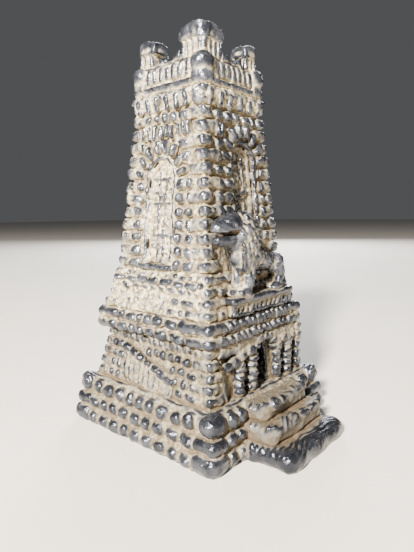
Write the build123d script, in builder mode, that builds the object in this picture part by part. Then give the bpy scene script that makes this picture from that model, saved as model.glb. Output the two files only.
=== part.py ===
from build123d import *
import os
from math import atan2, cos, degrees, radians, sin

# Souvenir figurine: a cast-metal square tower on a stepped plinth, with a lion on a balcony.
# Millimetres, +Z up. The origin is on the tower's axis, at the underside of the plinth.
# The front face, with the steps, the porch and the lion, looks along -Y.
# Every stage is a hollow casting that drops into a seat in the one below and is soldered there.

# ---- driving dimensions -----------------------------------------------------------------
overall_height = 80.0
plinth_top = 10.4
storey_top = 20.9
gallery_top = 25.4
skirt_top = 33.8
shaft_top = 68.4
belt_top = 73.5

plinth_half = (20.6, 19.1)  # half-widths at the bottom and the top of each tapered stage
storey_half = (16.4, 15.3)
gallery_core_half = 15.0
gallery_half = 16.3
skirt_half = (15.1, 13.9, 12.9)
shaft_half = (12.7, 9.3)
corbel_half = 9.9
belt_half = (9.6, 9.3)
parapet_inner_half = 7.2

seat_depth = 0.8  # how far each stage sinks into the one below
core_low_half = 12.4  # the hollow in the plinth and the lower storey
core_high_half = 8.6  # the hollow in the gallery, the skirt and the foot of the shaft
core_top_half = 6.4  # the hollow at the top of the shaft
spigot_wall = 1.6

skirt_knee_z = 29.4
string_course_z = (31.0, 32.5)
string_course_half = 14.1

porch_centre_x = 1.8  # the porch, the lion and the front niche all sit to the right of the axis
porch_half_width = 12.4
porch_wall_y = -14.6
porch_column_y = -15.65
porch_column_x = (4.6, 8.8)  # either side of the porch's centre
porch_column_radius = 0.95
porch_capital_top = 18.2
door_half_width = 3.6
door_spring_z = 16.2

niche_half_width = 4.1
niche_centre = {"front": 1.8, "right": 1.0, "back": 0.0, "left": -1.0}  # to the viewer's right
niche_foot_z = 35.2
niche_spring_z = {"front": 55.3, "right": 53.3, "back": 53.3, "left": 52.2}
niche_depth = 1.5
niche_panel_thickness = 0.9
voussoir_count = 6
voussoir_size = (2.5, 1.8)  # along and across its own radius
voussoir_proud = 0.6

lion_plane_y = -14.6
lion_slab_z = (28.2, 29.4)
lion_slab_x = (-9.8, 11.4)
lion_slab_front_y = -16.6

merlon_side = {"front_left": 6.2, "front_right": 4.8, "back_right": 5.2, "back_left": 5.2}
merlon_thickness = 3.4

faces = {"front": 0, "right": 90, "back": 180, "left": 270}  # turn of each face about the axis
corners = {"front_left": 270, "front_right": 0, "back_right": 90, "back_left": 180}


# ---- shared shapes ----------------------------------------------------------------------
def tapered_block(levels, corner_radius=0.0):
    """A square block through (height, half-width) levels, with rounded upright edges."""
    with BuildPart() as block:
        for z, half in levels:
            with BuildSketch(Plane.XY.offset(z)):
                if corner_radius:
                    RectangleRounded(2 * half, 2 * half, corner_radius)
                else:
                    Rectangle(2 * half, 2 * half)
        loft(ruled=True)
    return block.part


def square_ring(z_low, z_high, half_low, half_high, half_inside):
    """A square band with a straight square hole through it."""
    with BuildPart() as ring:
        add(tapered_block([(z_low, half_low), (z_high, half_high)]))
        add(tapered_block([(z_low, half_inside), (z_high, half_inside)]), mode=Mode.SUBTRACT)
    return ring.part


def wall_plane(turn, foot, head):
    """The sloping plane of one face of a tapered stage, from its (height, half-width) ends.

    Its x runs to the viewer's right, its y up the slope, and its origin is at the foot."""
    lean = degrees(atan2(foot[1] - head[1], head[0] - foot[0]))
    normal = Vector(0, -cos(radians(lean)), sin(radians(lean))).rotate(Axis.Z, turn)
    origin = Vector(0, -foot[1], foot[0]).rotate(Axis.Z, turn)
    return Plane(origin=origin, x_dir=Vector(1, 0, 0).rotate(Axis.Z, turn), z_dir=normal)


def arched_outline(half_width, foot, spring, centre=0.0):
    """An upright rectangle with a round head, drawn in the sketch's own plane."""
    with BuildSketch() as outline:
        with Locations((centre, (foot + spring) / 2)):
            Rectangle(2 * half_width, spring - foot)
        with Locations((centre, spring)):
            Circle(half_width)
    return outline.sketch


shaft_ends = ((skirt_top, shaft_half[0]), (shaft_top, shaft_half[1]))
slope = Vector(0, shaft_half[0] - shaft_half[1], shaft_top - skirt_top).length / (shaft_top - skirt_top)
niche_foot = (niche_foot_z - skirt_top) * slope
niche_spring = {face: (z - skirt_top) * slope for face, z in niche_spring_z.items()}


# ---- plinth and steps -------------------------------------------------------------------
with BuildPart() as plinth:
    add(tapered_block([(0, plinth_half[0]), (plinth_top, plinth_half[1])], corner_radius=3.0))
    fillet(plinth.faces().sort_by(Axis.Z)[-1].edges(), 0.9)
    with BuildSketch(Plane.XY.offset(plinth_top - seat_depth)):
        Rectangle(2 * storey_half[0], 2 * storey_half[0])
    extrude(amount=seat_depth, mode=Mode.SUBTRACT)
    with BuildSketch():
        Rectangle(2 * core_low_half, 2 * core_low_half)
    extrude(amount=plinth_top, mode=Mode.SUBTRACT)
plinth.part.label = "plinth"

step_sizes = {  # top height, half-width, how far the tread reaches forward
    "step_bottom": (3.6, 10.6, -29.6),
    "step_middle": (7.0, 9.6, -25.4),
    "step_landing": (10.2, 8.4, -22.4),
}
steps = []
tread_below = 0.0
for step_name, (tread_z, tread_half, front_y) in step_sizes.items():
    with BuildPart() as step:
        with BuildSketch(Plane.XY.offset(tread_below)):
            with Locations((0, (front_y - plinth_half[1]) / 2)):
                Rectangle(2 * tread_half, -front_y - plinth_half[1])
        extrude(amount=tread_z - tread_below)
        front_corners = step.edges().filter_by(Axis.Z).group_by(Axis.Y)[0]
        fillet(front_corners, 1.6)
        fillet(step.faces().sort_by(Axis.Z)[-1].edges().sort_by(Axis.Y)[0:1], 0.9)
        add(plinth.part, mode=Mode.SUBTRACT)
    step.part.label = step_name
    steps.append(step.part)
    tread_below = tread_z


# ---- lower storey, porch and side panels ------------------------------------------------
storey_foot_z = plinth_top - seat_depth
storey_ends = ((plinth_top, storey_half[0]), (storey_top, storey_half[1]))
with BuildPart() as lower_storey:
    add(tapered_block([(storey_foot_z, storey_half[0]), *storey_ends]))
    with BuildSketch(Plane.XY.offset(storey_foot_z)):
        Rectangle(2 * core_low_half, 2 * core_low_half)
    extrude(amount=storey_top - storey_foot_z, mode=Mode.SUBTRACT)
    with BuildSketch(Plane.XY.offset(plinth_top)):
        with Locations((porch_centre_x, porch_wall_y - 2.5)):
            Rectangle(2 * porch_half_width, 5)
    extrude(amount=storey_top - plinth_top, mode=Mode.SUBTRACT)
    with BuildSketch(Plane.XZ.offset(-porch_wall_y)):
        add(arched_outline(door_half_width, plinth_top, door_spring_z, porch_centre_x))
    extrude(amount=-1.2, mode=Mode.SUBTRACT)
lower_storey.part.label = "lower_storey"

with BuildPart() as porch_columns:
    for side in (-1, 1):
        for column_x in porch_column_x:
            with BuildSketch(Plane.XY.offset(plinth_top)):
                with Locations((porch_centre_x + side * column_x, porch_column_y)):
                    Circle(porch_column_radius + 0.1)
            extrude(amount=0.8)
            with BuildSketch(Plane.XY.offset(plinth_top + 0.8)):
                with Locations((porch_centre_x + side * column_x, porch_column_y)):
                    Circle(porch_column_radius - 0.15)
            extrude(amount=porch_capital_top - 1.4 - plinth_top - 0.8)
            with BuildSketch(Plane.XY.offset(porch_capital_top - 1.4)):
                with Locations((porch_centre_x + side * column_x, porch_column_y)):
                    Circle(porch_column_radius + 0.1)
            extrude(amount=1.4)
porch_columns.part.label = "porch_columns"

with BuildPart() as porch_arcade:
    with BuildSketch(Plane.XY.offset(porch_capital_top)):
        with Locations((porch_centre_x, (porch_wall_y - gallery_half) / 2)):
            Rectangle(2 * porch_half_width, gallery_half + porch_wall_y)
    extrude(amount=storey_top - porch_capital_top)
    with BuildSketch(Plane.XZ.offset(-porch_wall_y)):
        add(arched_outline(door_half_width, plinth_top, door_spring_z, porch_centre_x))
        for side in (-1, 1):
            with Locations((porch_centre_x + side * sum(porch_column_x) / 2, porch_capital_top)):
                Circle((porch_column_x[1] - porch_column_x[0]) / 2 - porch_column_radius)
    extrude(amount=gallery_half + porch_wall_y, mode=Mode.SUBTRACT)
porch_arcade.part.label = "porch_arcade"

# On the other three faces a plate of upright ribs stands under a rail that slopes to the front.
panel_half_width = 8.0
panel_thickness = 0.8
side_panels = []
for face_name in ("left", "right", "back"):
    fall = 1 if face_name == "left" else -1
    rail_high = (-fall * panel_half_width, 7.4)
    rail_low = (fall * panel_half_width, 2.2)
    rail_run = (Vector(*rail_low) - Vector(*rail_high)).length
    rail_slope = degrees(atan2(rail_low[1] - rail_high[1], rail_low[0] - rail_high[0]))
    plane = wall_plane(faces[face_name], *storey_ends)
    with BuildPart() as side_panel:
        with BuildSketch(plane):
            with BuildLine():
                Polyline((rail_high[0], 0), rail_high, rail_low, (rail_low[0], 0), close=True)
            make_face()
        extrude(amount=panel_thickness)
        with BuildSketch(plane.offset(panel_thickness)):
            with Locations(((rail_high[0] + rail_low[0]) / 2, (rail_high[1] + rail_low[1]) / 2)):
                SlotCenterToCenter(rail_run, 1.4, rotation=rail_slope)
            with Locations(*[(fall * x, 1.4) for x in (-6.6, -4.9, -3.2, -1.5, 0.2)]):
                Rectangle(0.8, 2.8)
        extrude(amount=0.4)
    side_panel.part.label = "side_panel_" + face_name
    side_panels.append(side_panel.part)


# ---- gallery ----------------------------------------------------------------------------
with BuildPart() as gallery_slab:
    add(tapered_block([(storey_top, gallery_core_half), (gallery_top, gallery_core_half)]))
    with BuildSketch(Plane.XY.offset(storey_top - 2 * seat_depth)):
        Rectangle(2 * core_low_half, 2 * core_low_half)
    extrude(amount=2 * seat_depth)
    with BuildSketch(Plane.XY.offset(storey_top - 2 * seat_depth)):
        Rectangle(2 * core_high_half, 2 * core_high_half)
    extrude(amount=gallery_top - storey_top + 2 * seat_depth, mode=Mode.SUBTRACT)
    with BuildSketch(Plane.XY.offset(gallery_top - seat_depth)):
        Rectangle(2 * (core_high_half + spigot_wall), 2 * (core_high_half + spigot_wall))
    extrude(amount=seat_depth, mode=Mode.SUBTRACT)
gallery_slab.part.label = "gallery_slab"

gallery_courses = []
for course_name, z_low, z_high, half in (
    ("gallery_lower_course", storey_top, storey_top + 2.1, gallery_half),
    ("gallery_upper_course", storey_top + 2.4, gallery_top, gallery_half - 0.2),
):
    with BuildPart() as course:
        with BuildSketch(Plane.XY.offset(z_low)) as band:
            Rectangle(2 * half, 2 * half)
            chamfer(band.vertices(), 1.5)
            Rectangle(2 * gallery_core_half, 2 * gallery_core_half, mode=Mode.SUBTRACT)
        extrude(amount=z_high - z_low)
    course.part.label = course_name
    gallery_courses.append(course.part)


# ---- skirt, balcony and lion ------------------------------------------------------------
skirt_levels = [(gallery_top, skirt_half[0]), (skirt_knee_z, skirt_half[1]), (skirt_top, skirt_half[2])]
with BuildPart() as skirt:
    add(tapered_block(skirt_levels))
    with BuildSketch(Plane.XY.offset(gallery_top - seat_depth)):
        Rectangle(2 * (core_high_half + spigot_wall), 2 * (core_high_half + spigot_wall))
    extrude(amount=seat_depth)
    with BuildSketch(Plane.XY.offset(gallery_top - seat_depth)):
        Rectangle(2 * core_high_half, 2 * core_high_half)
    extrude(amount=skirt_top - gallery_top + seat_depth, mode=Mode.SUBTRACT)
    with BuildSketch(Plane.XY.offset(skirt_top - seat_depth)):
        Rectangle(2 * (core_high_half + spigot_wall), 2 * (core_high_half + spigot_wall))
    extrude(amount=seat_depth, mode=Mode.SUBTRACT)
    for face_name in ("left", "right", "back"):
        with BuildSketch(wall_plane(faces[face_name], *skirt_levels[:2])):
            with Locations((0, 2.2)):
                Rectangle(17.0, 2.8)
        extrude(amount=-0.6, mode=Mode.SUBTRACT)
skirt.part.label = "skirt"

with BuildPart() as string_course:
    with BuildSketch(Plane.XY.offset(string_course_z[0])):
        RectangleRounded(2 * string_course_half, 2 * string_course_half, 0.8)
        with Locations((0, -string_course_half)):
            Rectangle(23.0, 6.0, mode=Mode.SUBTRACT)
    extrude(amount=string_course_z[1] - string_course_z[0])
    add(tapered_block(skirt_levels), mode=Mode.SUBTRACT)
string_course.part.label = "string_course"

with BuildPart() as balustrade:
    band_foot_z = gallery_top + 0.5
    band_width = 21.0
    band_centre_x = sum(lion_slab_x) / 2 + 0.6
    with BuildSketch(Plane.XY.offset(band_foot_z)):
        with Locations((band_centre_x, (lion_slab_front_y + 0.9 - 13.0) / 2)):
            Rectangle(band_width, -lion_slab_front_y - 0.9 - 13.0)
    extrude(amount=lion_slab_z[0] - band_foot_z)
    with BuildSketch(Plane.XZ.offset(-lion_slab_front_y - 0.9)):
        with Locations((band_centre_x, (band_foot_z + lion_slab_z[0]) / 2)):
            with GridLocations(band_width / 15, 0, 15, 1):
                Rectangle(0.8, lion_slab_z[0] - band_foot_z)
    extrude(amount=0.4)
    add(tapered_block(skirt_levels), mode=Mode.SUBTRACT)
balustrade.part.label = "balustrade"

with BuildPart() as lion_slab:
    with BuildSketch(Plane.XY.offset(lion_slab_z[0])):
        with Locations((sum(lion_slab_x) / 2, (lion_slab_front_y - 12.0) / 2)):
            Rectangle(lion_slab_x[1] - lion_slab_x[0], -lion_slab_front_y - 12.0)
    extrude(amount=lion_slab_z[1] - lion_slab_z[0])
    fillet(lion_slab.edges().filter_by(Axis.Z).group_by(Axis.Y)[0], 0.8)
    add(tapered_block(skirt_levels), mode=Mode.SUBTRACT)
lion_slab.part.label = "lion_slab"


def cross_section(x, centre_z, half_height, half_thickness):
    """An upright elliptical slice through the lion at x."""
    plane = Plane(origin=(x, lion_plane_y, centre_z), x_dir=(0, 1, 0), z_dir=(1, 0, 0))
    with BuildSketch(plane) as slice_sketch:
        Ellipse(half_thickness, half_height)
    return slice_sketch.sketch


with BuildPart() as lion:
    body_slices = [
        cross_section(-6.9, 36.4, 1.6, 1.3),
        cross_section(-4.5, 36.8, 3.4, 2.2),
        cross_section(-1.0, 36.2, 2.8, 2.1),
        cross_section(2.5, 35.3, 2.1, 1.9),
        cross_section(6.8, 35.2, 2.3, 2.0),
        cross_section(10.7, 34.3, 1.6, 1.3),
    ]
    loft(sections=body_slices)
    head_slices = [
        cross_section(-13.1, 41.0, 1.3, 1.0),
        cross_section(-11.5, 41.5, 2.3, 1.6),
        cross_section(-8.5, 41.7, 3.1, 2.2),
        cross_section(-5.5, 41.3, 3.8, 2.5),
        cross_section(-2.5, 40.9, 3.5, 2.4),
        cross_section(0.3, 40.0, 2.0, 1.6),
    ]
    loft(sections=head_slices)
    for leg_x, leg_y in ((-6.0, -15.3), (-4.0, -13.9), (7.6, -15.3), (9.2, -13.9)):
        with BuildSketch(Plane.XY.offset(lion_slab_z[1])):
            with Locations((leg_x, leg_y)):
                Circle(1.1)
        extrude(amount=35.2 - lion_slab_z[1])
        with BuildSketch(Plane.XY.offset(lion_slab_z[1])):
            with Locations((leg_x - 0.5, leg_y)):
                RectangleRounded(3.2, 2.2, 0.9)
        extrude(amount=1.3)
    for tail_z, tail_x, tail_radius in ((34.6, 10.4, 0.8), (lion_slab_z[1], 11.0, 0.5)):
        with BuildSketch(Plane.XY.offset(tail_z)):
            with Locations((tail_x, lion_plane_y - 0.4)):
                Circle(tail_radius)
    loft()
    with Locations((-4.4, lion_plane_y - 2.0, 41.8)):
        Sphere(1.1)
    with Locations((-11.6, lion_plane_y, 40.9)):
        Box(4.0, 8.0, 0.5, mode=Mode.SUBTRACT)
    add(tapered_block(skirt_levels), mode=Mode.SUBTRACT)
    add(tapered_block(shaft_ends), mode=Mode.SUBTRACT)
lion.part.label = "lion"


# ---- shaft and its niches ---------------------------------------------------------------
with BuildPart() as shaft:
    add(tapered_block(shaft_ends))
    with BuildSketch(Plane.XY.offset(skirt_top - seat_depth)):
        Rectangle(2 * (core_high_half + spigot_wall), 2 * (core_high_half + spigot_wall))
    extrude(amount=seat_depth)
    core_levels = [(skirt_top - seat_depth, core_high_half), (shaft_top, core_top_half)]
    add(tapered_block(core_levels), mode=Mode.SUBTRACT)
    for face_name, turn in faces.items():
        with BuildSketch(wall_plane(turn, *shaft_ends)):
            spring = niche_spring[face_name]
            add(arched_outline(niche_half_width, niche_foot, spring, niche_centre[face_name]))
        extrude(amount=-niche_depth, mode=Mode.SUBTRACT)
shaft.part.label = "shaft"

niche_panels = []
niche_arches = []
for face_name, turn in faces.items():
    wall = wall_plane(turn, *shaft_ends)
    centre = niche_centre[face_name]
    spring = niche_spring[face_name]
    niche_back = wall.offset(-niche_depth)
    with BuildPart() as niche_panel:
        with BuildSketch(niche_back):
            add(arched_outline(niche_half_width, niche_foot, spring, centre))
        extrude(amount=niche_panel_thickness)
        with BuildSketch(niche_back.offset(0.4)):
            add(arched_outline(niche_half_width - 1.4, niche_foot + 1.2, spring, centre))
            for transom in (0.33, 0.72):
                with Locations((centre, niche_foot + transom * (spring - niche_foot))):
                    Rectangle(2 * niche_half_width, 0.8, mode=Mode.SUBTRACT)
        extrude(amount=niche_panel_thickness, mode=Mode.SUBTRACT)
    niche_panel.part.label = "niche_panel_" + face_name
    niche_panels.append(niche_panel.part)

    with BuildPart() as niche_arch:
        with BuildSketch(Plane(wall.from_local_coords((centre, spring, 0)), wall.x_dir, wall.z_dir)):
            with PolarLocations(
                radius=niche_half_width + voussoir_size[0] / 2 + 0.1,
                count=voussoir_count,
                start_angle=90 / voussoir_count,
                angular_range=180,
            ):
                RectangleRounded(*voussoir_size, 0.7)
        extrude(amount=voussoir_proud)
    niche_arch.part.label = "niche_arch_" + face_name
    niche_arches.append(niche_arch.part)

with BuildPart() as niche_sills:
    for face_name in ("right", "back", "left"):
        with BuildSketch(wall_plane(faces[face_name], *shaft_ends)):
            with Locations((niche_centre[face_name], niche_foot - 0.6)):
                RectangleRounded(2 * niche_half_width + 1.6, 1.1, 0.4)
        extrude(amount=0.7)
niche_sills.part.label = "niche_sills"


# ---- crown ------------------------------------------------------------------------------
corbel_foot_z = shaft_top - 3.4
with BuildPart() as corbel_ring:
    add(tapered_block([(corbel_foot_z, 9.6), (corbel_foot_z + 1.2, corbel_half), (shaft_top, corbel_half)]))
    add(tapered_block(shaft_ends), mode=Mode.SUBTRACT)
corbel_ring.part.label = "corbel_ring"

with BuildPart() as parapet_belt:
    add(square_ring(shaft_top, belt_top, *belt_half, parapet_inner_half))
parapet_belt.part.label = "parapet_belt"

with BuildPart() as roof_deck:
    add(tapered_block([(shaft_top, parapet_inner_half), (shaft_top + 2.2, parapet_inner_half)]))
roof_deck.part.label = "roof_deck"

belt_knob_radius = 2.5
belt_knob_spacing = 2 * (belt_half[0] - 1.7)
belt_knob_z = belt_top - belt_knob_radius
with BuildPart() as belt_knobs:
    with Locations(Plane.XY.offset(belt_knob_z)):
        with GridLocations(belt_knob_spacing, belt_knob_spacing, 2, 2):
            Sphere(belt_knob_radius)
    add(tapered_block([(shaft_top, belt_half[0]), (belt_top, belt_half[1])]), mode=Mode.SUBTRACT)
belt_knobs.part.label = "belt_knobs"

# The wall between two merlons dips in a saddle.
wall_half = belt_half[1] - 0.2
saddle_rim_z = belt_top + 2.4
saddle_dip_z = belt_top + 0.9
with BuildPart() as parapet_wall:
    add(square_ring(belt_top, saddle_rim_z, wall_half, wall_half, parapet_inner_half))
    for plane in (Plane.XZ, Plane.YZ):
        with BuildSketch(plane):
            with BuildLine():
                gap_half = wall_half - min(merlon_side.values())
                ThreePointArc((-gap_half, saddle_rim_z), (0, saddle_dip_z), (gap_half, saddle_rim_z))
                Line((gap_half, saddle_rim_z), (-gap_half, saddle_rim_z))
            make_face()
        extrude(amount=wall_half + 1, both=True, mode=Mode.SUBTRACT)
    for corner_name, side in merlon_side.items():
        corner = Vector(wall_half - side / 2, side / 2 - wall_half, saddle_rim_z)
        with Locations(corner.rotate(Axis.Z, corners[corner_name])):
            Box(side, side, 10, mode=Mode.SUBTRACT)
parapet_wall.part.label = "parapet_wall"

merlons = []
for corner_name, turn in corners.items():
    corner = Plane(origin=(0, 0, belt_top), x_dir=Vector(1, 0, 0).rotate(Axis.Z, turn), z_dir=(0, 0, 1))
    side = merlon_side[corner_name]
    centre = wall_half - side / 2
    inner = side - merlon_thickness
    with BuildPart() as merlon:
        with BuildSketch(corner):
            with Locations((centre, -centre)):
                Rectangle(side, side)
            with Locations((centre - merlon_thickness / 2, merlon_thickness / 2 - centre)):
                Rectangle(inner, inner, mode=Mode.SUBTRACT)
        extrude(amount=overall_height - belt_top)
        outer_corner = merlon.edges().filter_by(Axis.Z).sort_by_distance((0, 0, 0))[-1]
        fillet(outer_corner, 1.6)
        fillet(merlon.faces().sort_by(Axis.Z)[-1].edges(), 1.0)
    merlon.part.label = "merlon_" + corner_name
    merlons.append(merlon.part)


# ---- output -----------------------------------------------------------------------------
single_nodes = (
    plinth,
    lower_storey,
    porch_columns,
    porch_arcade,
    gallery_slab,
    skirt,
    string_course,
    balustrade,
    lion_slab,
    lion,
    shaft,
    niche_sills,
    corbel_ring,
    parapet_belt,
    roof_deck,
    belt_knobs,
    parapet_wall,
)
repeated_nodes = steps + side_panels + gallery_courses + niche_panels + niche_arches + merlons
os.makedirs("parts", exist_ok=True)
for node in [builder.part for builder in single_nodes] + repeated_nodes:
    export_step(node, "parts/" + node.label + ".step")
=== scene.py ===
import functools
import math

import bpy
import numpy as np
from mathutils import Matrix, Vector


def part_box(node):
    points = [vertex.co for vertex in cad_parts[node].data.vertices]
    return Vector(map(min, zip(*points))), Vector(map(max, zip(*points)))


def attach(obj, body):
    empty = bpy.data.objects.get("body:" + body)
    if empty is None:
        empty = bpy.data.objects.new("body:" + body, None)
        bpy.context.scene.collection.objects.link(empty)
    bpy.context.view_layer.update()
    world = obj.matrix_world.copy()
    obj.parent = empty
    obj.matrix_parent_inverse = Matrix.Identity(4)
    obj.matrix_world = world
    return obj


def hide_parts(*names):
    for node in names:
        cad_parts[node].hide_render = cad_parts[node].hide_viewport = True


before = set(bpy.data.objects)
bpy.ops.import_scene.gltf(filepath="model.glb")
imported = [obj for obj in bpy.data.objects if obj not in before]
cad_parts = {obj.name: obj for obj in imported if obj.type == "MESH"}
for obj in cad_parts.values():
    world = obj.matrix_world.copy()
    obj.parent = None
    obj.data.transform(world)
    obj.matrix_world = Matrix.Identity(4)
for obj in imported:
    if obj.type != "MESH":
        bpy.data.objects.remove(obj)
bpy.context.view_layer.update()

# The tower is modelled as the metal of a casting: each piece is a lump of clay, a grid of signed distances
# in millimetres, to which worn stones are added one by one before its surface is drawn as a mesh.
# The front looks along -Y. A wall's own axes are u to the viewer's right, v up its slope, w outwards.

MM = 0.001
STEP = 0.19
FAR = 4.0
TURN = {"front": 0, "right": 90, "back": 180, "left": 270}
SIDES = ("left", "back", "right")
CORNER_SIGNS = ((-1, -1), (1, -1), (1, 1), (-1, 1))


# ---- levels and half-widths, read from the frame -------------------------------------------
def node_box(node):
    low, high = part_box(node)
    return np.array(low) / MM, np.array(high) / MM


def node_top(node):
    return node_box(node)[1][2]


def node_half(node):
    return node_box(node)[1][0]


plinth_top = node_top("plinth")
storey_top = node_box("gallery_lower_course")[0][2]
gallery_top = node_top("gallery_upper_course")
skirt_top = node_top("skirt")
shaft_top = node_top("shaft")
belt_top = node_top("parapet_belt")

plinth_half = (node_half("plinth"), node_half("plinth") - 1.5)
storey_half = (node_half("lower_storey"), node_half("lower_storey") - 1.1)
gallery_half = node_half("gallery_lower_course")
skirt_half = (node_half("skirt"), 13.9, 12.9)
skirt_knee = gallery_top + 4.0
shaft_half = (node_half("shaft"), 9.3)
parapet_inner = node_half("roof_deck")

# Each stage's outline, as (height, half-width) levels from its foot to its head.
plinth_levels = ((0, plinth_half[0]), (plinth_top, plinth_half[1]))
storey_levels = ((plinth_top, storey_half[0]), (storey_top, storey_half[1]))
skirt_levels = ((gallery_top, skirt_half[0]), (skirt_knee, skirt_half[1]), (skirt_top, skirt_half[2]))
shaft_levels = ((skirt_top, shaft_half[0]), (shaft_top, shaft_half[1]))


def half_at(levels, z):
    """The half-width of an outline at a height."""
    return float(np.interp(z, *zip(*levels)))


# ---- clay ----------------------------------------------------------------------------------
class Axes:
    """A local frame: an origin and three unit vectors, u, v and w."""

    def __init__(self, origin, u=(1, 0, 0), v=(0, 1, 0), w=(0, 0, 1)):
        self.origin = np.array(origin, float)
        self.u, self.v, self.w = (np.array(a, float) for a in (u, v, w))

    def local(self, x, y, z):
        dx, dy, dz = (c - o for c, o in zip((x, y, z), self.origin))
        return tuple(dx * a[0] + dy * a[1] + dz * a[2] for a in (self.u, self.v, self.w))

    def point(self, u, v, w=0.0):
        return self.origin + u * self.u + v * self.v + w * self.w

    def at(self, u, v, w=0.0, twist=0.0):
        """The same axes moved to a point and turned about w by twist degrees."""
        c, s = math.cos(math.radians(twist)), math.sin(math.radians(twist))
        return Axes(self.point(u, v, w), c * self.u + s * self.v, c * self.v - s * self.u, self.w)

    def reach(self, half):
        """The world box around a local box of these half-sizes."""
        span = sum(abs(a) * h for a, h in zip((self.u, self.v, self.w), half))
        return self.origin - span, self.origin + span


def wall(face, foot, head):
    """The axes of one sloping face, from its (height, half-width) at the foot and the head."""
    run = math.hypot(head[0] - foot[0], foot[1] - head[1])
    lean_s, lean_c = (foot[1] - head[1]) / run, (head[0] - foot[0]) / run
    c, s = math.cos(math.radians(TURN[face])), math.sin(math.radians(TURN[face]))

    def turned(p):
        return (c * p[0] - s * p[1], s * p[0] + c * p[1], p[2])

    origin = (0, -foot[1], foot[0])
    return Axes(*(turned(p) for p in (origin, (1, 0, 0), (0, lean_s, lean_c), (0, -lean_c, lean_s))))


def greatest(*values):
    """The greatest of several arrays, point by point."""
    return functools.reduce(np.maximum, values)


def smooth_min(a, b, blend):
    if blend <= 0:
        return np.minimum(a, b)
    h = np.maximum(blend - np.abs(a - b), 0) / blend
    return np.minimum(a, b) - h * h * blend / 4


def lattice_noise(shape, first, cell, seed):
    """Smooth noise from -1 to 1 on a grid, from random values on a coarser lattice of that cell size."""
    draw = np.random.default_rng(seed)
    low = np.floor(np.array(first) * STEP / cell).astype(int) - 1
    high = np.ceil((np.array(first) + shape) * STEP / cell).astype(int) + 2
    values = draw.uniform(-1, 1, high - low).astype(np.float32)
    for axis in range(3):
        place = (np.arange(shape[axis]) + first[axis]) * STEP / cell - low[axis]
        index = np.floor(place).astype(int)
        part = (place - index).astype(np.float32)
        part = part * part * (3 - 2 * part)
        part = part.reshape([-1 if a == axis else 1 for a in range(3)])
        before, after = np.take(values, index, axis), np.take(values, index + 1, axis)
        values = before + (after - before) * part
    return values


class Clay:
    """A grid of signed distances, in millimetres, negative inside the metal."""

    def __init__(self, low, high):
        self.first = np.floor(np.array(low) / STEP).astype(int) - 4
        last = np.ceil(np.array(high) / STEP).astype(int) + 4
        self.d = np.full(last - self.first + 1, FAR, np.float32)

    def window(self, low, high):
        start = np.maximum(np.floor(np.array(low) / STEP).astype(int) - self.first, 0)
        stop = np.minimum(np.ceil(np.array(high) / STEP).astype(int) - self.first + 1, self.d.shape)
        lines = [(np.arange(a, b) + f) * STEP for a, b, f in zip(start, stop, self.first)]
        x, y, z = np.ix_(*(line.astype(np.float32) for line in lines))
        return tuple(slice(a, max(a, b)) for a, b in zip(start, stop)), x, y, z

    def add(self, shape, blend=0.0, sign=1):
        """Joins a shape to the clay with a fillet of about blend, or with sign -1 cuts it out."""
        low, high, distance = shape
        room = blend + 2 * STEP
        part, x, y, z = self.window(low - room, high + room)
        if 0 not in self.d[part].shape:
            self.d[part] = sign * smooth_min(sign * self.d[part], distance(x, y, z), blend)

    def cut(self, shape, blend=0.0):
        self.add(shape, blend, -1)

    def lump(self, centre, radii, blend):
        self.add(egg(Axes(centre), radii), blend)

    def whole(self):
        """The coordinates of the whole grid."""
        return self.window(self.first * STEP, (self.first + self.d.shape) * STEP)[1:]

    def keep(self, distance):
        """Keeps only what lies inside a shape given by its distance over the whole grid."""
        self.d = np.maximum(self.d, distance(*self.whole())).astype(np.float32)

    def roughen(self, seed, coarse, fine, pits):
        for amount, cell in ((coarse, 1.5), (fine, 0.7), (pits, 0.38)):
            self.d += amount * lattice_noise(self.d.shape, self.first, cell, seed)
            seed += 1


# ---- shapes: (lowest corner, highest corner, distance function) ----------------------------
def block(axes, half, soft=0.6):
    """A worn block: a box with its edges rounded by soft times its least half-size."""
    radius = soft * min(half)

    def distance(x, y, z):
        q = [abs(c) - (h - radius) for c, h in zip(axes.local(x, y, z), half)]
        outside = np.sqrt(sum(np.maximum(c, 0) ** 2 for c in q))
        return outside + np.minimum(greatest(*q), 0) - radius

    return (*axes.reach(half), distance)


def corner_distance(a, b):
    """The distance from a square corner, from the distances past its two sides."""
    return np.hypot(np.maximum(a, 0), np.maximum(b, 0)) + np.minimum(np.maximum(a, b), 0)


def stone(axes, half, corner=0.75, edge=0.85, dome=0.22):
    """A worn stone: a pillow with round corners in its face, a round edge, and a domed top towards w."""
    corner_radius, edge_radius = corner * min(half[:2]), edge * min(half)

    def distance(x, y, z):
        u, v, w = axes.local(x, y, z)
        a, b = abs(u) - (half[0] - corner_radius), abs(v) - (half[1] - corner_radius)
        in_face = corner_distance(a, b) - corner_radius
        fall = dome * ((u / half[0]) ** 2 + (v / half[1]) ** 2)
        a, b = in_face + edge_radius, abs(w) + fall - (half[2] - edge_radius)
        return corner_distance(a, b) - edge_radius

    return (*axes.reach(half), distance)


def egg(axes, radii):
    def distance(x, y, z):
        p = axes.local(x, y, z)
        k0 = np.sqrt(sum((c / r) ** 2 for c, r in zip(p, radii)))
        k1 = np.sqrt(sum((c / r**2) ** 2 for c, r in zip(p, radii))) + 1e-6
        return k0 * (k0 - 1) / k1

    return (*axes.reach(radii), distance)


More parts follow.
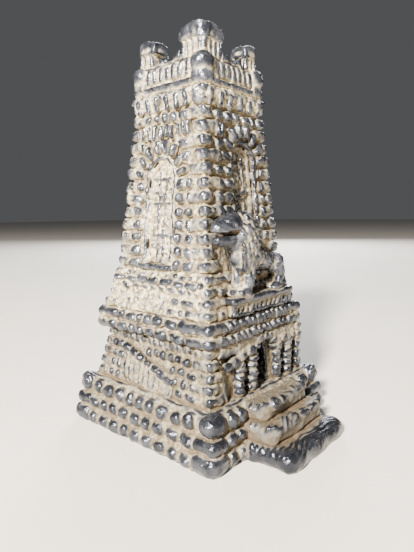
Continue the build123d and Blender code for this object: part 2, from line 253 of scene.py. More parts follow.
def rod(a, b, radius_a, radius_b=None):
    """A round bar between two points, tapering from one radius to the other."""
    a, b = np.array(a, float), np.array(b, float)
    radius_b = radius_a if radius_b is None else radius_b
    along = b - a
    most = max(radius_a, radius_b)

    def distance(x, y, z):
        p = (x - a[0], y - a[1], z - a[2])
        t = np.clip(sum(c * d for c, d in zip(p, along)) / (along @ along + 1e-9), 0, 1)
        off = np.sqrt(sum((c - t * d) ** 2 for c, d in zip(p, along)))
        return off - radius_a - t * (radius_b - radius_a)

    return np.minimum(a, b) - most, np.maximum(a, b) + most, distance


def square_stack(levels):
    """A square tower through (height, half-width) levels."""
    heights, halves = [z for z, _ in levels], [h for _, h in levels]
    most = max(halves)

    def distance(x, y, z):
        side = np.maximum(abs(x), abs(y)) - np.interp(z, heights, halves).astype(np.float32)
        return greatest(side, heights[0] - z, z - heights[-1])

    return np.array((-most, -most, heights[0])), np.array((most, most, heights[-1])), distance


def arch_outline(u, v, half_width, spring):
    """How far a point lies outside a round-headed outline."""
    return np.where(v < spring, abs(u), np.hypot(u, v - spring)) - half_width


def arch_reach(axes, half_width, foot, spring, w, thick, spread=0.0):
    """The world box around an arch of that half-thickness at depth w, widened by spread."""
    centre = axes.at(0, (foot + spring + half_width) / 2, w)
    return centre.reach((half_width + spread, (spring + half_width - foot) / 2 + spread, thick))


def arch_prism(axes, half_width, foot, spring, low, high):
    """A round-headed upright slot between two depths along w."""

    def distance(x, y, z):
        u, v, w = axes.local(x, y, z)
        return greatest(arch_outline(u, v, half_width, spring), foot - v, low - w, w - high)

    return (*arch_reach(axes, half_width, foot, spring, (low + high) / 2, (high - low) / 2), distance)


def arch_roll(axes, half_width, foot, spring, radius, w=0.0):
    """A round moulding that follows an arch's outline, up one side and down the other."""

    def distance(x, y, z):
        u, v, out = axes.local(x, y, z)
        return np.maximum(np.hypot(arch_outline(u, v, half_width, spring), out - w) - radius, foot - v)

    return (*arch_reach(axes, half_width, foot, spring, w, radius, radius), distance)


# ---- from clay to mesh ---------------------------------------------------------------------
CORNERS = np.array([(i, j, k) for i in (0, 1) for j in (0, 1) for k in (0, 1)])
EDGES = [(a, b) for a in range(8) for b in range(a + 1, 8) if abs(CORNERS[a] - CORNERS[b]).sum() == 1]


def surface(clay):
    """The clay's surface as points in millimetres and quads: one point in each cell that it crosses."""
    d = clay.d
    inside = d < 0
    size = np.array(d.shape) - 1
    count = np.zeros(size, np.int8)
    for i, j, k in CORNERS:
        count += inside[i : i + size[0], j : j + size[1], k : k + size[2]]
    cells = np.argwhere((count > 0) & (count < 8))
    number = np.full(size, -1, np.int32)
    number[tuple(cells.T)] = np.arange(len(cells))
    values = np.stack([d[tuple((cells + corner).T)] for corner in CORNERS], 1)
    total = np.zeros((len(cells), 3))
    crossings = np.zeros(len(cells))
    for a, b in EDGES:
        crosses = (values[:, a] < 0) != (values[:, b] < 0)
        gap = values[:, a] - values[:, b]
        t = np.where(crosses, values[:, a] / np.where(crosses, gap, 1), 0)
        total += np.where(crosses[:, None], CORNERS[a] + t[:, None] * (CORNERS[b] - CORNERS[a]), 0)
        crossings += crosses
    points = (cells + total / crossings[:, None] + clay.first) * STEP
    quads = []
    for axis in range(3):
        one, two = [a for a in range(3) if a != axis]
        near = [slice(1, -1)] * 3
        near[axis] = slice(0, -1)
        far = list(near)
        far[axis] = slice(1, None)
        before, after = inside[tuple(near)], inside[tuple(far)]
        for flip in (False, True):
            hit = np.argwhere((~before & after) if flip else (before & ~after))
            hit[:, one] += 1
            hit[:, two] += 1
            ring = []
            for step_one, step_two in ((0, 0), (1, 0), (1, 1), (0, 1)):
                cell = hit.copy()
                cell[:, one] -= step_one
                cell[:, two] -= step_two
                ring.append(number[tuple(cell.T)])
            quad = np.stack(ring, 1)
            quads.append(quad[:, ::-1] if flip == (axis != 1) else quad)
    quads = np.concatenate(quads)
    return points, quads[(quads >= 0).all(1)]


def sample(field, first, points):
    """A grid's values at points, interpolated between its nodes."""
    place = points / STEP - first
    index = np.clip(np.floor(place).astype(int), 0, np.array(field.shape) - 2)
    part = (place - index).astype(np.float32)
    result = 0
    for corner in CORNERS:
        weight = np.prod(np.where(corner, part, 1 - part), axis=1)
        result = result + weight * field[tuple((index + corner).T)]
    return result


def box_blur(field, cells):
    """A blur by a running mean of that many cells, along each axis in turn."""
    for axis in range(3):
        sums = np.cumsum(field, axis=axis, dtype=np.float32)
        length = field.shape[axis]
        after = np.minimum(np.arange(length) + cells, length - 1)
        before = np.maximum(np.arange(length) - cells - 1, 0)
        field = (np.take(sums, after, axis) - np.take(sums, before, axis)) / (2 * cells + 1)
    return field


# ---- masonry -------------------------------------------------------------------------------
rng = np.random.default_rng(11)


def jitter(amount):
    return rng.uniform(-amount, amount)


def lay_row(clay, face, v, height, u_from, u_to, widths, proud, bed, soft, blend, skip=None, gap=0.24):
    """A row of worn stones along a face, from u_from to u_to, each of a width drawn from the range widths."""
    u = u_from
    while u < u_to - 0.3:
        width = min(rng.uniform(*widths), u_to - u)
        if u_to - (u + width) < 0.6 * widths[0]:
            width = u_to - u
        middle = u + width / 2
        lift, tall = jitter(0.18), height * (1 + jitter(0.16))
        half = (width / 2 - gap, tall / 2 - gap, proud + jitter(0.14))
        place = face.at(middle, v + lift, bed, twist=jitter(10))
        if skip is None or not skip(middle, v):
            clay.add(stone(place, half, soft), blend)
        u += width


def quoin(clay, corner, z, half_at_z, along_x, along_y, height, proud, soft):
    """A corner stone: corner is the pair of signs of x and y, and the lengths run back along each face."""
    sx, sy = corner
    out = half_at_z + proud
    centre = (sx * (out - along_x / 2), sy * (out - along_y / 2), z)
    turn = math.radians(jitter(5))
    place = Axes(centre, (math.cos(turn), math.sin(turn), 0), (-math.sin(turn), math.cos(turn), 0))
    clay.add(block(place, (along_x / 2, along_y / 2, height / 2 - 0.1), soft), 0.25)


def ripple(clay, distance_from, start_z, height, pitch):
    """Raises low ripples on a tread or a shelf, above start_z."""
    x, y, z = clay.whole()
    wave = np.sin(distance_from(x, y) * 2 * np.pi / pitch)
    clay.d += (height * wave * np.clip((z - start_z) / 0.8, 0, 1)).astype(np.float32)


def quoin_columns(clay, levels, foot_z, rows, pitch, lengths, total, height, proud, soft, spread=0.0):
    """Quoins up all four corners. The long side turns the other way from one to the next."""
    for corner in CORNER_SIGNS:
        for number in range(rows):
            z = foot_z + (number + 0.5) * pitch
            long = lengths[number % 2]
            along = [a + jitter(spread) if spread else a for a in (long, total - long)]
            quoin(clay, corner, z, half_at(levels, z), *along, height, proud, soft)


def clay_around(node, below, above):
    """A node's lowest and highest corner, and empty clay around them."""
    low, high = node_box(node)
    return low, high, Clay(low - below, high + above)


RAIL_SLOPE = 0.27  # how steeply a side panel's rail falls
DOOR_HALF = 2.6
porch_x = (node_box("porch_arcade")[0][0] + node_half("porch_arcade")) / 2


def make_plinth():
    _, _, clay = clay_around("plinth", 0.6, 0.8)
    foot, head = plinth_half
    clay.add(square_stack([(0, foot - 1.15), (plinth_top - 1.3, head - 1.15),
                           (plinth_top - 0.35, head - 1.9)]))
    for face_name in TURN:
        face = wall(face_name, *plinth_levels)
        for z, tall, past in ((1.9, 3.1, 0), (5.2, 2.7, 0.5), (8.5, 3.0, 0)):
            reach = half_at(plinth_levels, z) - 4.9 + past
            u = -reach
            while u < reach - 1.0:
                width = min(rng.uniform(2.7, 3.7), reach - u)
                if reach - u - width < 1.8:
                    width = reach - u
                centre = face.at(u + width / 2, z + jitter(0.2), -1.2, jitter(12))
                size = (width / 2 - 0.2, tall / 2 - 0.1 + jitter(0.12), 1.45 + jitter(0.16))
                clay.add(stone(centre, size, 0.95, 0.85, 0.3), 0.4)
                u += width
    for sx, sy in CORNER_SIGNS:
        for z, long, tall in ((1.9, 6.2, 3.8), (5.1, 5.6, 2.5), (8.4, 4.7, 3.9)):
            half = half_at(plinth_levels, z)
            along = (long, long * 0.86) if rng.random() < 0.5 else (long * 0.86, long)
            place = Axes((sx * (half - along[0] / 2 + 0.1), sy * (half - along[1] / 2 + 0.1), z))
            clay.add(block(place, (along[0] / 2, along[1] / 2, tall / 2), 0.97), 0.25)

    def from_middle(x, y):
        return np.maximum(abs(x), abs(y)) + 0.3 * np.sin(0.9 * x + 0.4) * np.cos(0.8 * y)

    # The shelf around the storey is rippled, like wax that ran out from under it.
    ripple(clay, from_middle, plinth_top - 1.4, 0.14, 0.95)
    return clay


def make_steps():
    made = {}
    below = 0.0
    for name, nose, soft, tread in (
        ("step_bottom", 1.5, 0.95, -7.0), ("step_middle", 0.85, 0.7, -5.0), ("step_landing", 0.8, 0.7, -5.0)
    ):
        low, high, clay = clay_around(name, 0.6, 0.9)
        half, front, back, top = high[0], low[1], -plinth_half[1] + 1.5, high[2]
        place = Axes((0, (front + back) / 2, (below + top) / 2 - 0.3))
        clay.add(block(place, (half, (back - front) / 2, (below + top) / 2 - below), soft))
        if name == "step_bottom":  # one smooth, broad nose that sags at its ends
            clay.add(rod(*((side * (half - 1.9), front + 1.9, top - 1.75) for side in (-1, 1)), 1.75), 0.9)
            for side in (-1, 1):
                ends = (side * (half - 1.8), front + 2.0, 1.8), (side * (half - 1.6), back - 2, 2.0)
                clay.add(rod(*ends, 1.6), 0.9)
        else:  # worn lumps of uneven size along the edge of the tread
            count = 6
            for number in range(count):
                at = -half + 1.3 + (2 * half - 2.6) * number / (count - 1)
                size = nose * rng.uniform(0.85, 1.35)
                centre = (at, front + 0.9 + jitter(0.35), top - size * 0.75)
                clay.lump(centre, (1.5 * size + 0.4, size + 0.2, size), 0.55)
            for side in (-1, 1):
                for y in (front + 3.0, front + 3.0 + 2.4):
                    clay.lump((side * (half - 0.9), y, top - 1.2 + jitter(0.3)), (1.1, 1.2, 1.0), 0.4)

        def from_tread(x, y, middle=tread + front):
            return np.hypot(0.7 * x, y - middle) + 0.35 * np.sin(0.7 * x)

        ripple(clay, from_tread, top - 1.2, 0.1, 0.95)
        if name != "step_bottom":  # the front corners are worn round

            def plan(x, y, z, half=half, front=front, radius=3.2):
                across, out = np.maximum(abs(x) - half + radius, 0), np.maximum(front + radius - y, 0)
                return np.hypot(across, out) - radius - 0.3 + 0 * z

            clay.keep(plan)
        clay.d += 0.3 * lattice_noise(clay.d.shape, clay.first, cell=3.4, seed=7)
        made[name] = clay
        below = top
    for x, y, size in ((-5.0, -22.3, 1.5), (-2.6, -22.3, 1.1), (2.8, -21.4, 1.0), (6.2, -21.6, 1.2)):
        made["step_landing"].lump((x, y, below - 0.5), (size, size * 0.95, size * 0.9), 0.35)
    return made


def make_storey():
    low, high = node_box("lower_storey")
    clay = Clay(low - 0.4, (*high[:2] + 0.4, storey_top + 0.1))
    foot, head = storey_half
    clay.add(square_stack([(low[2], foot - 0.5), (plinth_top + 0.4, foot - 0.5),
                           (plinth_top + 1.6, foot - 0.85), (storey_top, head - 1.3)]))
    rows = 5
    pitch = (storey_top - plinth_top) / rows
    reach = foot - 3.4
    for face_name in SIDES:
        near = 1 if face_name == "left" else -1

        def under_rail(u, v, near=near):
            return v < 6.6 - RAIL_SLOPE * near * u and -8.6 < near * u < 6.5

        for number in range(rows):
            widths, bed = ((1.4, 2.1), -1.3) if number == rows - 1 else ((1.8, 2.8), -0.8)
            lay_row(clay, wall(face_name, *storey_levels), (number + 0.5) * pitch, pitch * 1.1, -reach, reach,
                    widths, 1.05, bed, 0.85, 0.3, under_rail)
    quoin_columns(clay, storey_levels, plinth_top, rows, pitch, (4.2, 2.8), 6.6,
                  pitch * 0.98, 0.05, 0.75, 0.3)
    # the porch recess and its doorway
    front = wall("front", *storey_levels)
    depth = foot + node_box("porch_arcade")[1][1]
    clay.cut(block(front.at(porch_x, 5.0, -depth / 2 + 1.5), (12.4, 6.2, depth / 2 + 1.5), 0.3), 0.4)
    clay.cut(arch_prism(front.at(porch_x, 0), DOOR_HALF, 0.2, 6.6, -depth - 2.0, 0), 0.3)
    for number in range(rows):  # the column of quoins at the right of the porch
        z = plinth_top + (number + 0.5) * pitch
        clay.add(block(Axes((14.7, -15.6, z)), (1.15, 1.0, pitch * 0.46), 0.9), 0.3)
    return clay


def make_porch():
    arcade_low, arcade_high = node_box("porch_arcade")
    columns_low, columns_high = node_box("porch_columns")
    clay = Clay(arcade_low - 1.2, (*arcade_high[:2] + 0.8, storey_top + 0.2))
    front = Axes((porch_x, arcade_low[1] + 0.75, plinth_top), (1, 0, 0), (0, 0, 1), (0, -1, 0))
    clay.add(block(front.at(-1.2, storey_top - plinth_top - 1.1, -0.4), (13.2, 1.2, 0.75), 0.6))
    spring, ring = 6.3, 3.6
    for number in range(7):  # voussoirs over the doorway
        angle = math.radians(8 + number * 164 / 6)
        u, v = ring * math.cos(angle), spring + ring * math.sin(angle)
        clay.add(stone(front.at(u, v, -0.1, math.degrees(angle)), (0.95, 0.72, 1.0)), 0.3)
    # Worn stones step up to the doorway from the near corner, and stand over the right-hand columns.
    for u, v, size in (
        (-15.0, 6.2, 1.25), (-12.6, 6.3, 1.2), (-10.3, 6.7, 1.35), (-8.0, 7.5, 1.35), (-5.6, 8.3, 1.5),
        (4.4, 7.9, 1.05), (6.6, 8.2, 1.15), (8.6, 7.9, 1.15), (10.7, 8.1, 1.1), (12.6, 7.9, 1.1),
    ):
        at = front.at(u, v + jitter(0.15), 0.05 + jitter(0.2), 18 if u < 0 else jitter(15))
        clay.add(egg(at, (size * 1.05, size * 0.82, size)), 0.45)
    clay.cut(arch_prism(front, DOOR_HALF, -1, spring, -2.5, 2.5), 0.3)
    posts = Clay((-9.0, columns_low[1] - 1.0, columns_low[2] - 0.6), (13.0, *columns_high[1:] + 0.8))
    centre_y = (columns_low[1] + columns_high[1]) / 2
    up = np.array((0, 0, 1.0))
    for x, width, tall in ((-8.8, 1.15, 6.0), (-4.6, 1.25, 6.3), (4.6, 1.0, 7.2), (8.7, 1.05, 7.3)):
        foot = np.array((porch_x + x, centre_y, plinth_top))
        posts.add(rod(foot + 0.6 * up, foot + (tall - 0.8) * up, width, width * 0.8), 0.3)
        for z in np.arange(0.6, tall, 1.45):  # drums
            posts.lump(foot + z * up + (jitter(0.1), jitter(0.1), 0), (width * 1.12, width * 1.1, 0.75), 0.3)
        posts.lump(foot + tall * up, (width * 1.25, width * 1.2, 0.85), 0.3)
    return {"porch_arcade": clay, "porch_columns": posts}


def make_side_panel(face_name):
    _, _, clay = clay_around("side_panel_" + face_name, 0.7, 0.9)
    face = wall(face_name, *storey_levels)
    near = 1 if face_name == "left" else -1
    slope = -math.degrees(math.atan(RAIL_SLOPE)) * near
    high_end, low_end = face.point(-near * 8.3, 7.3, -0.1), face.point(near * 7.0, 2.7, -0.1)
    clay.add(block(face.at(-near * 0.7, 2.6, -0.75, slope * 0.6), (7.4, 2.7, 0.75), 0.5))
    count = 7
    for number in range(count):  # the sloping rail is a run of long worn stones
        at = high_end + (low_end - high_end) * ((number + 0.5) / count)
        place = Axes(at, face.u, face.v, face.w).at(0, 0, 0, slope + jitter(5))
        clay.add(block(place, (1.12, 0.72 + jitter(0.1), 0.75), 0.85), 0.22)
    for number in range(count):  # upright ribs under it
        u = -near * 7.2 + near * number * 1.5
        top = 6.1 - RAIL_SLOPE * (near * u + 7.5)
        clay.add(rod(face.point(u, 0.7, -0.25), face.point(u, top, -0.15), 0.42, 0.4), 0.25)
    return clay


def make_gallery():
    core_low, core_high = node_box("gallery_slab")
    slab = Clay((*core_low[:2] - 0.6, storey_top - 1.7), core_high + 0.3)
    core, spigot = core_high[0], 12.3
    slab.add(square_stack([(core_low[2], spigot), (storey_top - 0.01, spigot), (storey_top, core),
                           (gallery_top - 0.1, core)]))
    courses = ("gallery_lower_course", "gallery_upper_course")
    ledge_z, ledge = (node_top(courses[0]) + node_box(courses[1])[0][2]) / 2, gallery_half - 0.75
    slab.add(square_stack([(ledge_z - 0.22, ledge), (ledge_z + 0.22, ledge)]), 0.2)
    made = {"gallery_slab": slab}
    for name in courses:
        low, high, clay = clay_around(name, 0.8, 0.7)
        middle, tall, half = (low[2] + high[2]) / 2, high[2] - low[2], high[0]
        clay.add(square_stack([(low[2] + 0.35, half - 1.15), (high[2] - 0.35, half - 1.15)]))
        for face_name in TURN:
            face = wall(face_name, (middle, half), (middle + 1, half))
            widths = (1.55, 2.1) if face_name == "front" else (2.1, 4.3)
            reach = half - 3.6
            lay_row(clay, face, 0, tall + 0.35, -reach, reach, widths, 1.25, -1.0, 0.9, 0.2, gap=0.16)
        for sx, sy in CORNER_SIGNS:  # long stones bend round each chamfered corner
            bend, out, back = half - 1.25, half - 0.95, half - 1.9 - 2.0
            for x, y in ((out, back), (back, out)):
                clay.add(rod((sx * x, sy * y, middle), (sx * bend, sy * bend, middle), 1.05, 1.2), 0.3)
        clay.cut(square_stack([(storey_top - 1, core), (gallery_top + 1, core)]))
        made[name] = clay
    return made


def make_skirt():
    low, _, clay = clay_around("skirt", 0.4, 0.4)
    bed = 0.6
    clay.add(square_stack([(low[2], skirt_half[0] - 3), *((z, half - bed) for z, half in skirt_levels)]))
    rows = 4
    pitch = (skirt_top - gallery_top) / rows
    for face_name in TURN:
        for number in range(rows):
            z = gallery_top + (number + 0.5) * pitch
            stage = 0 if z < skirt_knee else 1
            reach = half_at(skirt_levels, z) - 3.4

            def in_panel(u, _, number=number, face_name=face_name):
                return face_name != "front" and number < 2 and -10.2 < u < 3.0 + 7.0 * (face_name != "left")

            face, v = wall(face_name, *skirt_levels[stage : stage + 2]), (z - skirt_levels[stage][0]) * 1.05
            lay_row(clay, face, v, pitch * 0.98, -reach, reach, (1.9, 3.1), 1.05, -0.8, 0.85, 0.3, in_panel)
    for face_name in SIDES:  # each side's panel is rough, without courses
        face = wall(face_name, *skirt_levels[:2])
        for _ in range(70):
            u, v = rng.uniform(-10.5, 3.2), rng.uniform(0.4, 4.2)
            clay.add(egg(face.at(u, v, -0.62, jitter(60)), (0.6, 0.4, 0.42)), 0.25)
    quoin_columns(clay, skirt_levels, gallery_top, rows, pitch, (2.9, 4.4), 7.2, pitch * 0.92, 0.0, 0.8)
    return clay


def make_string_course():
    low, high, clay = clay_around("string_course", 0.6, 0.4)
    middle, tall, half = (low[2] + high[2]) / 2, high[2] - low[2], high[0]
    for face_name in SIDES:
        face = wall(face_name, (middle, half), (middle + 1, half))
        lay_row(clay, face, 0, tall + 0.3, -half + 1.4, half - 1.4, (2.3, 4.2), 1.0, -0.8, 0.9, 0.2, gap=0.16)
    return clay


def niche_of(face_name):
    """A face's niche: axes on its centre line, its half-width, and its foot and spring up the slope."""
    low, high = node_box("niche_panel_" + face_name)
    face = wall(face_name, *shaft_levels)
    ends = [face.local(x, y, low[2])[0] for x, y in (low[:2], high[:2])]
    half = abs(ends[1] - ends[0]) / 2
    foot, spring = (low[2] - skirt_top) * SLANT, (high[2] - skirt_top) * SLANT - half
    return face.at((ends[0] + ends[1]) / 2, 0), half, foot, spring


SLANT = 1.005  # a length up the shaft's face, for each millimetre of height


def niche_depth(face_name):
    return 2.2 if face_name == "front" else 1.9


def make_shaft():
    low, _, clay = clay_around("shaft", 0.9, 0.3)
    bed = 0.9
    clay.add(square_stack([(low[2], shaft_half[0] - 3), (skirt_top - 0.2, shaft_half[0] - bed),
                           (shaft_top, shaft_half[1] - bed)]))
    rows = 12
    pitch = (node_box("corbel_ring")[0][2] - 0.3 - skirt_top) / rows
    for face_name in TURN:
        face = wall(face_name, *shaft_levels)
        niche, niche_half, _, spring = niche_of(face_name)
        shift = face.local(*niche.origin)[0]

        def in_niche(u, v, shift=shift, niche_half=niche_half, spring=spring):
            if v < spring:
                return abs(u - shift) < niche_half + 0.5
            return math.hypot(u - shift, v - spring) < niche_half + 3.6

        for number in range(3 if face_name == "front" else 0, rows):  # the wall behind the lion is plain
            v = (number + 0.5) * pitch
            reach = float(np.interp(v, (0, shaft_top - skirt_top), shaft_half)) - 3.2
            side = niche_half + 0.25
            spans = ((-reach, reach),)
            if v < spring + 0.5:
                spans = ((-reach, shift - side), (shift + side, reach))
            height, widths = (1.25, (1.3, 1.7)) if number == rows - 2 else (0.98, (2.2, 3.1))
            for span in spans:
                if span[1] - span[0] > 1.0:
                    lay_row(clay, face, v, pitch * height, *span, widths, 1.3, -0.85, 0.8, 0.22, in_niche)
    quoin_columns(clay, shaft_levels, skirt_top, rows + 1, pitch, (4.5, 2.7), 7.2,
                  pitch * 0.9, 0.12, 0.75, 0.35)
    for face_name in TURN:
        niche, half, foot, spring = niche_of(face_name)
        depth = niche_depth(face_name)
        clay.cut(arch_prism(niche, half - 0.1, foot, spring, -depth, 2.0), 0.3)
        clay.add(arch_roll(niche, half - 0.25, foot, spring, 0.5, -0.75), 0.3)
        clay.add(arch_roll(niche, half - 1.15, foot + 0.3, spring, 0.5, 0.45 - depth), 0.4)
    return clay


def make_niche(face_name):
    niche, half, foot, spring = niche_of(face_name)
    depth, tall = niche_depth(face_name), spring - foot
    _, _, panel = clay_around("niche_panel_" + face_name, 0.5, 0.5)
    panel.add(arch_prism(niche, half + 0.15, foot - 0.1, spring, -depth - 0.4, -depth + 0.4))
    for share in (0.03, 0.33, 0.7, 0.98):  # transoms
        panel.add(block(niche.at(0, foot + share * tall, -depth + 0.5), (half - 1.3, 0.36, 0.4), 0.7), 0.2)
    for u in (-0.85, 0.85):  # uprights
        ends = (niche.point(u, v, -depth + 0.55) for v in (foot + 0.4, spring + 0.8))
        panel.add(rod(*ends, 0.33), 0.2)
    for _ in range(60):
        u, v = jitter(half - 1.2), foot + rng.uniform(0.4, tall + 1.8)
        panel.add(egg(niche.at(u, v, -depth + 0.42, jitter(80)), (0.6, 0.34, 0.4)), 0.15)
    _, _, arch = clay_around("niche_arch_" + face_name, 1.6, 1.6)
    count, ring = 8, half + 1.75
    for number in range(count):
        angle = 7 + 166 * number / (count - 1) + jitter(2)
        a = math.radians(angle)
        lean = 14 if number < count / 2 else -14
        at = niche.at(ring * math.cos(a), spring + ring * math.sin(a), -0.4, angle + lean)
        arch.add(stone(at, (1.4 + jitter(0.15), 0.74, 1.05), 0.95, 0.9, 0.3), 0.25)
    return {"niche_panel_" + face_name: panel, "niche_arch_" + face_name: arch}


def make_sills():
    _, _, clay = clay_around("niche_sills", 0.6, 0.6)
    for face_name in SIDES:
        niche, half, foot, _ = niche_of(face_name)
        clay.add(block(niche.at(0, foot - 0.55, -0.1), (half + 0.7, 0.6, 0.7), 0.85))
    return clay


def make_crown():
    low, high, ring = clay_around("corbel_ring", 0.8, 0.2)
    z, half = low[2], high[0]
    ring.add(square_stack([(z + 0.1, half - 0.9), (z + 1.5, half - 0.7), (z + 2.0, half - 0.15),
                           (z + 2.9, half - 0.15), (z + 3.3, half - 0.6)]))
    for face_name in TURN:
        face = wall(face_name, (z, half - 0.3), (z + 1, half - 0.3))
        count = 6 if face_name in ("front", "back") else 7
        for number in range(count):
            u = (number - (count - 1) / 2) * (2 * half - 4.4) / (count - 1) + jitter(0.15)
            ring.add(rod(face.point(u, 0.3, -0.25), face.point(u, 1.9, 0.0), 0.62, 0.7), 0.3)
    for corner in CORNER_SIGNS:
        quoin(ring, corner, z + 1.0, half - 0.25, 3.2, 3.2, 2.2, 0.1, 0.8)
    ring.cut(square_stack([(z - 1, 8.3), (shaft_top + 1, 8.3)]))

    low, high, belt = clay_around("parapet_belt", 0.8, 0.3)
    z, half, top = low[2], high[0], high[2]
    belt.add(square_stack([(z, half - 0.5), (z + 0.5, half - 0.1), (z + 1.3, half), (z + 1.7, half - 0.65),
                           (top - 0.45, half - 0.75), (top, half - 0.55)]))
    for face_name in TURN:
        face = wall(face_name, (z, half), (top, half - 0.3))
        count = 9
        for number in range(count):
            u = (number - (count - 1) / 2) * 1.72 + jitter(0.1)
            tall = 1.5 + jitter(0.12)
            belt.add(block(face.at(u, 3.3, -0.65, jitter(6)), (0.72, tall, 0.72 + jitter(0.08)), 0.95), 0.18)
    belt.cut(square_stack([(z - 1, parapet_inner), (top + 1, parapet_inner)]))

    _, high, knobs = clay_around("belt_knobs", 0.5, 0.8)
    for sx, sy in CORNER_SIGNS:
        x, y = sx * (half - 1.7), sy * (half - 1.7)
        knobs.add(block(Axes((x, y, z + 3.9)), (2.2, 2.2, 2.1), 0.97))
        knobs.add(block(Axes((x, y, z + 1.6)), (1.9, 1.9, 1.5), 0.8), 0.4)
    knobs.cut(square_stack([(z - 1, parapet_inner), (high[2] + 2, parapet_inner)]))

    low, high, deck = clay_around("roof_deck", 0, 0.3)
    deck.add(square_stack([(low[2], parapet_inner - 0.02), (high[2], parapet_inner - 0.02)]))
    return {"corbel_ring": ring, "parapet_belt": belt, "belt_knobs": knobs, "roof_deck": deck}


def make_parapet_wall():
    """Saddles between the merlons, lowest in the middle of each side."""
    low, high = node_box("parapet_wall")
    clay = Clay(low - 0.3, (*high[:2] + 0.3, high[2] + 0.4))
    half = high[0]
    x, y, z = clay.whole()
    thick = (half - parapet_inner) / 2 + 0.15
    ring = np.abs(np.maximum(abs(x), abs(y)) - half + thick + 0.2) - thick
    along = np.minimum(abs(x), abs(y))
    top = low[2] + 0.75 + 0.16 * along**2
    clay.d = greatest(ring, low[2] - z, (z - top) * 0.8, along - 3.1).astype(np.float32)
    clay.d += 0.12
    return clay


def make_merlon(corner_name):
    """A worn block with a domed cap, over two legs of stones that run along the parapet."""
    low, high, clay = clay_around("merlon_" + corner_name, 0.5, 0.3)
    sx, sy = np.sign(low[0] + high[0]), np.sign(low[1] + high[1])
    side = high[0] - low[0] + 0.15
    thick = side - 1.3
    outer = np.maximum(abs(low), abs(high))
    base, top = low[2], high[2] - {"front_left": 0.1, "front_right": 1.1}.get(corner_name, 0.7)
    x, y, z = clay.whole()
    a, b = outer[0] - sx * x, outer[1] - sy * y  # distances in from the two outer faces
    # A domed cap over both legs: high over the corner, and falling towards the legs' ends.
    rim = base + 0.60 * (top - base)
    reach = np.hypot(a - 0.46 * side, b - 0.46 * side) / (0.74 * side)
    dome = rim + (top - rim) * np.sqrt(np.clip(1 - reach**2, 0.03, 1))
    corner_round = 1.7 - np.hypot(np.maximum(1.7 - a, 0), np.maximum(1.7 - b, 0))
    plan = greatest(0.25 - a, 0.25 - b, a - side, b - side, np.minimum(a, b) - thick, 0.25 - corner_round)
    cap = greatest(plan, 0.8 * (z - dome), rim - 0.45 - z)
    stem = greatest(plan + 0.75, z - dome + 1.0, base - z)
    clay.d = (smooth_min(cap, stem, 0.35) - 0.02).astype(np.float32)
    for leg in (0, 1):  # upright worn stones under the cap
        for number in range(round(side / 1.6)):
            inset = [1.35 + number * 1.35, 0.9][:: -1 if leg else 1]
            point = np.array((sx * (outer[0] - inset[0]), sy * (outer[1] - inset[1]), 0))
            clay.add(rod(point + (0, 0, base + 0.6), point + (0, 0, rim - 0.3), 0.52, 0.48), 0.15)
    return clay


def make_balcony():
    low, high, band = clay_around("balustrade", 0.6, 0.3)
    middle, half = (low + high) / 2, (high - low) / 2
    band.add(block(Axes(middle + (0, 0.55, 0)), (high[0] - middle[0] - 0.3, half[1] - 0.3, half[2]), 0.3))
    count = 13
    for number in range(count):  # balusters
        x = low[0] + 0.9 + (high[0] - low[0] - 1.8) * number / (count - 1)
        foot, head = (x, low[1] + 0.45, low[2] + 0.5), (x + jitter(0.1), low[1] + 0.5, high[2] - 0.55)
        band.add(rod(foot, head, 0.5, 0.56), 0.2)
    for z, out in ((low[2] + 0.25, 0.4), (high[2] - 0.1, 0.2)):  # rails
        band.add(rod((low[0] + 0.4, low[1] + out, z), (high[0] - 0.4, low[1] + out, z), 0.38), 0.25)

    low, high, slab = clay_around("lion_slab", 0.5, 0.5)
    middle = (low + high) / 2
    slab.add(block(Axes(middle), (high - low) / 2, 0.75))
    slab.add(rod((low[0] + 0.8, low[1] + 0.5, middle[2]), (high[0] - 0.8, low[1] + 0.5, middle[2]), 0.5), 0.3)
    return {"balustrade": band, "lion_slab": slab}


def tuft(clay, at, toward, length, width):
    """A lock of mane: a short tapering lump."""
    at, toward = np.array(at, float), np.array(toward, float)
    toward = toward / np.linalg.norm(toward)
    clay.add(rod(at - toward * length / 2, at + toward * length / 2, width, width * 0.62), 0.12)


